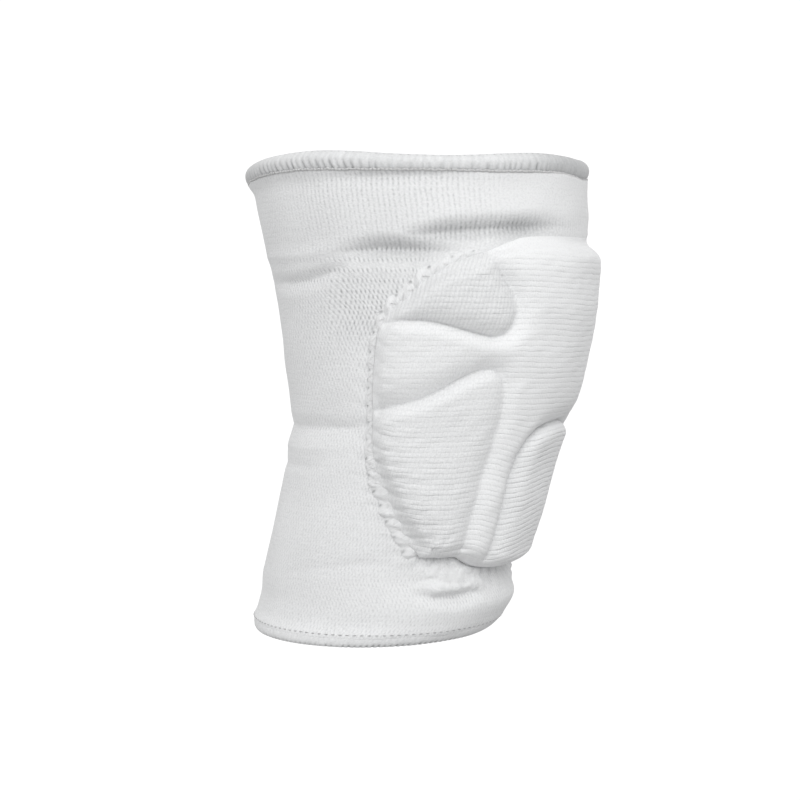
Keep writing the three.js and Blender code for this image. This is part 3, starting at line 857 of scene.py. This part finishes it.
class OBJECT_OT_knee_pad_hems(bpy.types.Operator):
    """Roll the upper and lower hems"""

    bl_idname = "object.knee_pad_hems"
    bl_label = "Roll the hems"

    def execute(self, context):
        def top(share, round_share):
            degrees = circled(share)
            sway = 0.35 * ring_ripple(share, TOP_ROUND, 14, 23)
            turn = 2 * math.pi * round_share
            ridges = sizes().hem_ridges
            side = around_turn(degrees)
            slanted = window(84, 100, 132, 150, side)
            strength = slanted + 0.30 * window(50, 62, 90, 100, side) + 0.75 * window(22, 32, 46, 60, side)
            reach = 0.2 + 0.25 * slanted
            low_side = step(reach, -0.35, np.sin(turn)) * step(-0.2, 0.3, np.cos(turn))
            lean = 1.5 * slanted * np.sign(degrees)
            wave = 0.5 - 0.5 * np.cos(2 * math.pi * (share * ridges + sway) - lean * 2 * np.sin(turn))
            jitter = 0.7 + 0.4 * ring_ripple(share, TOP_ROUND, 7, 21)
            slit = low_side * np.clip(wave, 0, 1) ** 3 * np.clip(jitter, 0.1, 1.2) * strength
            swell = 0.18 * ring_ripple(share, TOP_ROUND, 40, 5)
            lift, height = top_section(degrees, turn, 0.75 * slit - swell + 0.10 * wave * low_side)
            points = skin(degrees, np.full(len(degrees), TOP_LEVEL), lift)
            points[:, 2] = height
            # Painted shade at the front and back ends of the roll, where it turns away from the light
            ends = 0.55 * step(46, 12, side) + 0.40 * step(118, 156, side)
            coordinates = np.stack((share * ridges, round_share), axis=-1)
            # Dark slits on the lower half of the roll, darkened partly as painted shade under it, with painted shade
            # at its ends
            return points, coordinates, {"marks_and_painted_shade": 0.85 * slit + ends + 0.08}

        def bottom(share, round_share):
            degrees = circled(share)
            turn = 2 * math.pi * round_share
            ridges = sizes().foot_ridges
            low_side = step(-0.2, -0.7, np.sin(turn)) * step(-0.7, 0.0, np.cos(turn))
            wave = 0.5 - 0.5 * np.cos(2 * math.pi * share * ridges + 0.9 * np.sin(np.radians(degrees)) * np.sin(turn))
            jitter = np.clip(0.7 + 0.5 * ring_ripple(share, FOOT_ROUND, 8, 22), 0, 1.2)
            front = 0.35 + 0.65 * step(100, 60, around_turn(degrees))
            slit = low_side * wave**2 * jitter * front
            lift, height = bottom_section(degrees, turn, 0.7 * slit + 0.12 * ring_ripple(share, FOOT_ROUND, 30, 7))
            coordinates = np.stack((share * ridges, round_share), axis=-1)
            # Dark slits on the roll's underside, darkened partly as painted shade under it
            return skin(degrees, height, lift), coordinates, {"marks_and_painted_shade": np.clip(1.7 * slit, 0, 1)}

        hem = joined("top_hem_roll", woven("top_hem_roll", sizes().hem_ridges * 8, 26, top))
        placed(hem, hem_finish("upper hem knit", colours().knit, 1.0), "hem_knit", "top_hem")
        foot = joined("bottom_hem_roll", woven("bottom_hem_roll", sizes().foot_ridges * 8, 20, bottom))
        placed(foot, hem_finish("lower hem knit", colours().knit), "hem_knit", "bottom_hem")
        return {"FINISHED"}


def cover_shape(degrees, height):
    """Lift of the cover without its ribs, the ribs' strength and line, the painted shade along the creases, and the
    beads' strength, which also paints shade over the panels.
    """
    turn = np.abs(degrees)
    across = unrolled(degrees, height)
    border, along, (foam_slope,) = BORDER.measure(degrees, height)
    inward = np.clip(border, 0, None)
    full = PAD_FRONT.at("thickness", height)
    eased = 0.5 * full + 0.25 * (PAD_FRONT.at("thickness", height - 4) + PAD_FRONT.at("thickness", height + 4))
    full = (full + (eased - full) * step(6, 24, turn)) * PAD_SIDE.at("share", turn)
    side = step(-60, -52, height) * step(61, 54, height)
    low_edge = (0.3 + 0.4 * border_roughness(height)) * side * step(6.5, 0.5, border)
    rise = shoulder(border / foam_slope) * (1 - low_edge)
    rise += (step(0, 6.0, border) - rise) * step(59, 64, height)
    start = 0.6 - 0.8 * step(59, 63, height)
    lift = start + (full - start) * rise
    painted_crease_shade = np.zeros(len(turn))
    panels = []
    for line, ends in ((UPPER_CREASE, turn), (LOWER_CREASE, turn), (SHIN_CREASE, degrees)):
        distance, _, (depth, inner, outer, sharp) = line.measure(ends, height)
        panels.append(step(-1, 2, distance))
        rounded = 2.0 - 1.75 * np.clip(sharp, 0, 1)
        apart = np.sqrt(distance**2 + rounded**2) - rounded
        slope = np.where(distance > 0, inner, outer)
        lift -= depth * (1 - shoulder(apart / slope)) * step(0, 5, border)
        # Painted shade along each crease between the panels, stronger where it is sharp and deep
        painted_crease_shade = np.maximum(painted_crease_shade, sharp * np.exp(-((distance / 0.55) ** 2)) * np.clip(depth / 5, 0, 1))
    upper, lower, shin = panels
    wing = step(38, 50, turn) * (1 - upper) * (1 - lower)
    rib = 0.62 - 0.20 * wing
    rib = rib * (1 - upper) + 0.60 * upper
    rib = rib * (1 - lower) + (0.40 + 0.20 * step(0, -35, height)) * lower
    rib = rib * (1 - shin) + 1.0 * shin
    low_side = step(-64, -56, height) * step(-4, -14, height) * step(30, 42, turn)
    rib += 0.5 * np.exp(-inward / 7) * low_side
    rib *= step(66, 58, height) * step(2, 8, border + 6 * step(-50, -60, height))
    rib *= 0.8 + 0.35 * ripple(across, height * 2, 14, 16)
    pulled = np.exp(-inward / 6.5) * step(0, 1.5, border)
    pulled *= step(-61, -53, height) * step(60, 52, height) * step(35, 50, turn)
    valley = pull(along, border, np.sign(degrees))
    lift -= (0.5 + 0.6 * low_side) * pulled * valley
    lift += 0.45 * (0.5 + low_side) * pulled * ripple(across, height, 4.2, 18)
    # Painted shade in the valleys that the border's stitches pull in
    painted_crease_shade = np.maximum(painted_crease_shade, 0.55 * low_side * pulled * valley**2)
    lift += 0.22 * ripple(across, height, 17, 4) * step(0, 8, border)
    lift += 0.10 * ripple(across, height, 6.5, 14) * step(0, 5, border)
    low = step(6, -16, height)
    line_rise = RIB_LINE_LOW.at("rise", turn) * low + RIB_LINE_HIGH.at("rise", turn) * (1 - low)
    line_rise += 2.6 * np.exp(-inward / 7) * low_side
    rib_line = height - line_rise + 0.35 * ripple(across, height, 26, 6) + 0.12 * ripple(across, height, 7, 17)
    lift -= fold_under(degrees, height) * step(10, 0, border)
    # Strength of the beads, which also paints shade over the panels: most on the upper panel, then the lower panel and
    # the wing
    beads_and_panel_shade = np.clip(0.03 + 0.20 * wing + 0.62 * upper + 0.30 * lower, 0, 1)
    return lift, np.clip(rib, 0, 1.4), rib_line, painted_crease_shade, beads_and_panel_shade


def cover_base(degrees, height):
    """Lift of the cover's inner side, which lies closer to the knit at its head and follows the folds there."""
    return 0.35 - 0.85 * step(59, 63, height) - fold_under(degrees, height)


# How far the cover's edge stands over its inner side, and the least distance between its two sides
EDGE_RISE = 0.15
LEAST_THICKNESS = 0.27


class OBJECT_OT_knee_pad_cover(bpy.types.Operator):
    """Draw the ribbed cover over the foam panels"""

    bl_idname = "object.knee_pad_cover"
    bl_label = "Cover the foam"

    def execute(self, context):
        across_count, up_count = 196, 326
        pitch = sizes().rib_pitch / MM
        tall = sizes().rib_height / MM
        # Rows of faces lie closer together at the foot and at the head
        places = np.linspace(0, 1, 800)
        density = 1 + 1.5 * np.exp(-places / 0.018) + 0.6 * np.exp(-(1 - places) / 0.02)
        reach = np.concatenate(((0,), np.cumsum((density[1:] + density[:-1]) / 2)))
        reach /= reach[-1]

        def lie(across, up):
            """Degrees, height, the inner side's lift there, and whether the place is on the cover's edge."""
            degrees, height = cover_map(2 * across - 1, np.interp(up, reach, places))
            return degrees, height, cover_base(degrees, height), at_end(across) | at_end(up)

        def outside(across, up):
            degrees, height, base, edge = lie(across, up)
            lift, rib, line, painted_crease_shade, beads_and_panel_shade = cover_shape(degrees, height)
            wave = 0.5 + 0.5 * np.cos(2 * math.pi * (line / pitch - 0.5))
            lift = lift + tall * rib * (np.sqrt(wave) - 0.6)
            lift = np.where(edge, base + EDGE_RISE, np.maximum(lift, base + LEAST_THICKNESS))
            coordinates = np.stack((unrolled(degrees, height), line / pitch), axis=-1)
            return skin(degrees, height, lift), coordinates, {"rib": rib, "painted_crease_shade": painted_crease_shade, "beads_and_panel_shade": beads_and_panel_shade}

        def inside(across, up):
            degrees, height, base, edge = lie(across, up)
            coordinates = np.stack((unrolled(degrees, height), height / pitch), axis=-1)
            plain = dict.fromkeys(("rib", "painted_crease_shade", "beads_and_panel_shade"), np.zeros(len(across)))
            return skin(degrees, height, base + np.where(edge, EDGE_RISE, 0)), coordinates, plain

        piece = joined(
            "pad_cover",
            woven("cover_outside", across_count, up_count, outside),
            woven("cover_inside", across_count, up_count, inside),
        )
        placed(
            piece,
            cover_finish("ribbed cover", colours().cover),
            "ribbed_cover",
            "centre_pad",
            "shin_pad",
            "upper_side_pad_left",
            "upper_side_pad_right",
            "lower_side_pad_left",
            "lower_side_pad_right",
        )
        return {"FINISHED"}


def zigzag(along, pitch):
    """Triangle wave from -1 to 1."""
    return 1 - 4 * np.abs(np.mod(along / pitch, 1) - 0.5)


def border_roughness(height):
    """Share of the border that is drawn up into soft lumps, low on the sides and round their upper corners."""
    return np.maximum(step(-10, -26, height), 0.9 * window(32, 40, 59, 63, height))


# Where the border's middle lies outside the cover's edge, and half the border's width
BAND_MIDDLE = 0.3
BAND_HALF = 2.6


def border_foot(height):
    """Share of the border that runs along the foot of the cover."""
    return step(-58.5, -61.5, height)


def border_flat(height):
    """Share of the border that lies flat, without lumps, along the head and the foot of the cover."""
    return np.maximum(step(58, 63, height), border_foot(height))


def band_top(along, height, across, pitch, side):
    """Lift and lumps of the border between its holes, across it from -1 on its inner side to 1 on its outer one."""
    flat = border_flat(height)
    rough = border_roughness(height)
    slanted = along - 0.3 * pitch * rough * side * across
    lump = np.abs(np.sin(math.pi * slanted / pitch)) ** (0.7 - 0.25 * rough)
    share, length = along / BORDER.length, BORDER.length
    lump = lump * (0.75 + 0.45 * ring_ripple(share, length, 9, 31, 0.3 * across))
    lump += 0.38 * rough * ring_ripple(share, length, 5.0, 33, 0.8 * across)
    lump += 0.20 * rough * ring_ripple(share, length, 2.2, 34, 1.5 * across)
    full = (0.6 + (0.5 + 0.45 * rough) * lump) * (1 - flat) + 0.12 * flat
    full = full * (0.75 + 0.25 * np.maximum(rough, flat)) + 0.5 * window(33, 41, 57, 62, height) * lump
    return 0.2 + full * np.clip(1 - across**2, 0, 1) ** (0.5 + 0.7 * rough), lump * (1 - flat)


class OBJECT_OT_knee_pad_border(bpy.types.Operator):
    """Overlock the cover's edge to the sleeve"""

    bl_idname = "object.knee_pad_border"
    bl_label = "Stitch the border"

    def execute(self, context):
        stitches = round(BORDER.length / (sizes().stitch_pitch / MM))
        pitch = BORDER.length / stitches

        def band(share, round_share):
            along = share * BORDER.length
            turn = 2 * math.pi * round_share
            across = np.cos(turn)
            face, middle = BORDER.point(along, 0 * along)
            foot, flat = border_foot(middle), border_flat(middle)
            rough = border_roughness(middle)
            lift, lump = band_top(along, middle, across, pitch, np.sign(face))
            scallop = (0.25 + 0.75 * lump) * (1 - flat) + 0.5 * flat
            outer_reach = 0.62 + 0.4 * rough + (0.38 + 0.25 * rough) * scallop
            reach = BAND_HALF * np.where(across > 0, outer_reach, 0.6 + 1.3 * rough)
            reach = reach * (1 - 0.65 * foot) * (1 - 0.4 * step(56, 64, middle))
            wander = 0.5 * ring_ripple(share, BORDER.length, 22, 12) * (1 - flat)
            degrees, height = BORDER.point(along, BAND_MIDDLE - 1.1 * foot + reach * across + wander)
            phase = np.mod(along / pitch + 0.5, 1) - 0.5
            hole = np.exp(-((phase * pitch / 0.55) ** 2) - ((across - 0.82) * BAND_HALF / 0.5) ** 2)
            hole *= np.clip(0.75 + 0.6 * ring_ripple(share, BORDER.length, 10, 41), 0, 1) * (1 - 0.45 * flat)
            lift = np.where(np.sin(turn) > 0, lift - 0.35 * hole, -0.6) - 0.8 * np.maximum(foot, step(60, 63, middle))
            lift = lift - fold_under(degrees, height)
            marks_and_painted_shade = (1.3 + 0.7 * window(32, 40, 58, 62, middle)) * (hole * (np.sin(turn) > 0))
            coordinates = np.stack((along / 1.1, across * 0.1), axis=-1)
            return skin(degrees, height, lift), coordinates, {"marks_and_painted_shade": np.clip(marks_and_painted_shade, 0, 1)}

        piece = joined("border_stitching", woven("border_stitching", stitches * 20, 28, band))
        placed(piece, hem_finish("border knit", colours().knit, tone=0.04), "seam_thread", "pad_seam")

        def thread(share):
            along = share * BORDER.length
            side = zigzag(along, pitch)
            face, middle = BORDER.point(along, 0 * along)
            top, _ = band_top(along, middle, 0.8 * side, pitch, np.sign(face))
            degrees, height = BORDER.point(along, BAND_MIDDLE + BAND_HALF * 0.8 * side)
            hidden = 1.2 * np.maximum(step(60, 63, middle), step(-56, -60, middle)) + fold_under(degrees, height)
            proud = 0.02 + 0.12 * window(34, 40, 56, 60, middle)
            return degrees, height, top + proud - 0.25 * step(0.8, 1.0, np.abs(side)) - hidden

        zigzag_thread = strand("border_thread", stitches * 12, 0.16, thread)
        placed(zigzag_thread, thread_finish("border thread", colours().thread), "seam_thread")
        return {"FINISHED"}


class OBJECT_OT_knee_pad_stitches(bpy.types.Operator):
    """Sew the hems with their thread"""

    bl_idname = "object.knee_pad_stitches"
    bl_label = "Sew the hems"

    def execute(self, context):
        ridges = sizes().hem_ridges
        dashes = 112

        def rope(share):
            degrees = circled(share)
            swing = 2 * math.pi * share * ridges
            height = TOP_FOOT.at("height", around_turn(degrees)) - 0.35
            lift = sleeve_lift(degrees, height)[0]
            sway = 0.14 * np.sin(swing) + 0.12 * ring_ripple(share, TOP_ROUND, 9, 51)
            proud = -0.45 + 0.62 * window(12, 44, 128, 158, around_turn(degrees))
            return degrees, height + sway, lift + proud + 0.10 * np.cos(2 * swing)

        def dashed(share):
            degrees = circled(share)
            shown = np.cos(2 * math.pi * share * dashes)
            rim = bottom_rim(degrees) + 0.9
            lift = sleeve_lift(degrees, rim)[0]
            return degrees, rim, lift - 0.20 + 0.34 * shown

        rope_thread = strand("top_hem_thread", ridges * 8, 0.5, rope)
        placed(rope_thread, thread_finish("hem thread", colours().thread), "seam_thread")
        dash_thread = strand("bottom_hem_thread", dashes * 8, 0.17, dashed)
        # The lower hem's thread is painted dark grey to stand for the shadow in the stitches' groove
        painted_shadow_grey = tuple(0.62 * channel for channel in colours().thread)
        placed(dash_thread, thread_finish("lower hem thread in painted shadow grey", painted_shadow_grey), "seam_thread")
        return {"FINISHED"}


# Light from all sides, and how much more of it comes from above and from behind the camera
SKY = 0.58
SKY_UP = 0.22
SKY_AHEAD = 0.12
# Degrees round from the front, degrees up and metres from the middle, then the lens and its sideways shift
CAMERA_TURN = -70.0
CAMERA_RISE = 4.0
CAMERA_DISTANCE = 0.70
CAMERA_FOCAL = 72.9
CAMERA_SHIFT = -0.025
# Degrees round from the front, degrees up, metres from the middle, metres across and watts
LIGHTS = (
    ("key light", -56, 32, 1.5, 1.1, 9.0),
    ("side light", -95, 8, 1.8, 1.4, 4.0),
    ("back light", 172, 12, 1.8, 1.4, 4.5),
    ("far light", 96, 14, 1.8, 1.4, 7.0),
)
STAGE_SIZE = 8
FLOOR_HEIGHT = -0.62


def aim(thing, place):
    """Puts a camera or light in its place and points it at the middle of the part."""
    x, y, z = place
    thing.location = place
    thing.rotation_euler = (math.pi / 2 - math.atan2(z, math.hypot(x, y)), 0, math.atan2(x, -y))


def around(turn, rise, distance):
    """Place at degrees round from the front, degrees up and a distance."""
    turn, rise = math.radians(turn), math.radians(rise)
    level = distance * math.cos(rise)
    return level * math.sin(turn), -level * math.cos(turn), distance * math.sin(rise)


class OBJECT_OT_knee_pad_stage(bpy.types.Operator):
    """Set the floor, the lights and the camera"""

    bl_idname = "object.knee_pad_stage"
    bl_label = "Set the stage"

    def execute(self, context):
        scene = context.scene
        pale = Finish("pale stage")
        glow = pale.node("ShaderNodeEmission", None, {"Color": (*colours().backdrop, 1), "Strength": 1.2})
        pale.node("ShaderNodeOutputMaterial", None, {"Surface": glow})
        for name in ("floor", "backdrop"):
            bm = bmesh.new()
            if name == "floor":
                bmesh.ops.create_grid(bm, x_segments=8, y_segments=8, size=STAGE_SIZE)
                bmesh.ops.translate(bm, verts=bm.verts, vec=(0, 0, FLOOR_HEIGHT))
            else:
                bmesh.ops.create_icosphere(bm, subdivisions=3, radius=STAGE_SIZE)
                bmesh.ops.reverse_faces(bm, faces=bm.faces)
            mesh = bpy.data.meshes.new(name)
            bm.to_mesh(mesh)
            bm.free()
            mesh.materials.append(pale.material)
            sheet = bpy.data.objects.new(name, mesh)
            scene.collection.objects.link(sheet)
            sheet.visible_diffuse = False
            sheet.visible_glossy = False
            sheet.visible_shadow = False

        world = bpy.data.worlds.new("studio")
        scene.world = world
        world.use_nodes = True
        sky = Nodes(world.node_tree)
        heading = sky.node("ShaderNodeTexCoord", None, None, "Generated")
        brighter = np.array(around(CAMERA_TURN, 0, SKY_AHEAD)) + (0, 0, SKY_UP)
        facing = sky.node("ShaderNodeVectorMath", {"operation": "DOT_PRODUCT"}, {0: heading, 1: brighter}, "Value")
        background = sky.node("ShaderNodeBackground", None, {"Color": (1, 1, 1, 1), "Strength": facing + SKY})
        sky.node("ShaderNodeOutputWorld", None, {"Surface": background})

        for name, turn, rise, distance, size, power in LIGHTS:
            light = bpy.data.lights.new(name, "AREA")
            light.shape = "DISK"
            light.size = size
            light.energy = power
            lamp = bpy.data.objects.new(name, light)
            scene.collection.objects.link(lamp)
            aim(lamp, around(turn, rise, distance))

        camera_data = bpy.data.cameras.new("camera")
        camera_data.lens = CAMERA_FOCAL
        camera_data.sensor_width = 36
        camera_data.shift_x = CAMERA_SHIFT
        camera = bpy.data.objects.new("camera", camera_data)
        scene.collection.objects.link(camera)
        aim(camera, around(CAMERA_TURN, CAMERA_RISE, CAMERA_DISTANCE))
        scene.camera = camera
        scene.view_settings.view_transform = "Standard"
        scene.view_settings.look = "None"
        return {"FINISHED"}


class VIEW3D_PT_knee_pad(bpy.types.Panel):
    bl_label = "Knee pad"
    bl_space_type = "VIEW_3D"
    bl_region_type = "UI"
    bl_category = "Knee pad"

    def draw(self, context):
        for group in (context.scene.knee_pad_sizes, context.scene.knee_pad_colours):
            box = self.layout.box()
            for name in group.__annotations__:
                box.prop(group, name)
        for operator in OPERATORS:
            self.layout.operator(operator.bl_idname)


OPERATORS = (
    OBJECT_OT_knee_pad_sleeve,
    OBJECT_OT_knee_pad_hems,
    OBJECT_OT_knee_pad_cover,
    OBJECT_OT_knee_pad_border,
    OBJECT_OT_knee_pad_stitches,
    OBJECT_OT_knee_pad_stage,
)
CLASSES = (KneePadSizes, KneePadColours, *OPERATORS, VIEW3D_PT_knee_pad)


def register():
    for cls in CLASSES:
        bpy.utils.register_class(cls)
    bpy.types.Scene.knee_pad_sizes = bpy.props.PointerProperty(type=KneePadSizes)
    bpy.types.Scene.knee_pad_colours = bpy.props.PointerProperty(type=KneePadColours)


def unregister():
    del bpy.types.Scene.knee_pad_colours
    del bpy.types.Scene.knee_pad_sizes
    for cls in reversed(CLASSES):
        bpy.utils.unregister_class(cls)


def main():
    register()
    bpy.ops.object.knee_pad_sleeve()
    bpy.ops.object.knee_pad_hems()
    bpy.ops.object.knee_pad_cover()
    bpy.ops.object.knee_pad_border()
    bpy.ops.object.knee_pad_stitches()
    bpy.ops.object.knee_pad_stage()


if __name__ == "__main__":
    main()
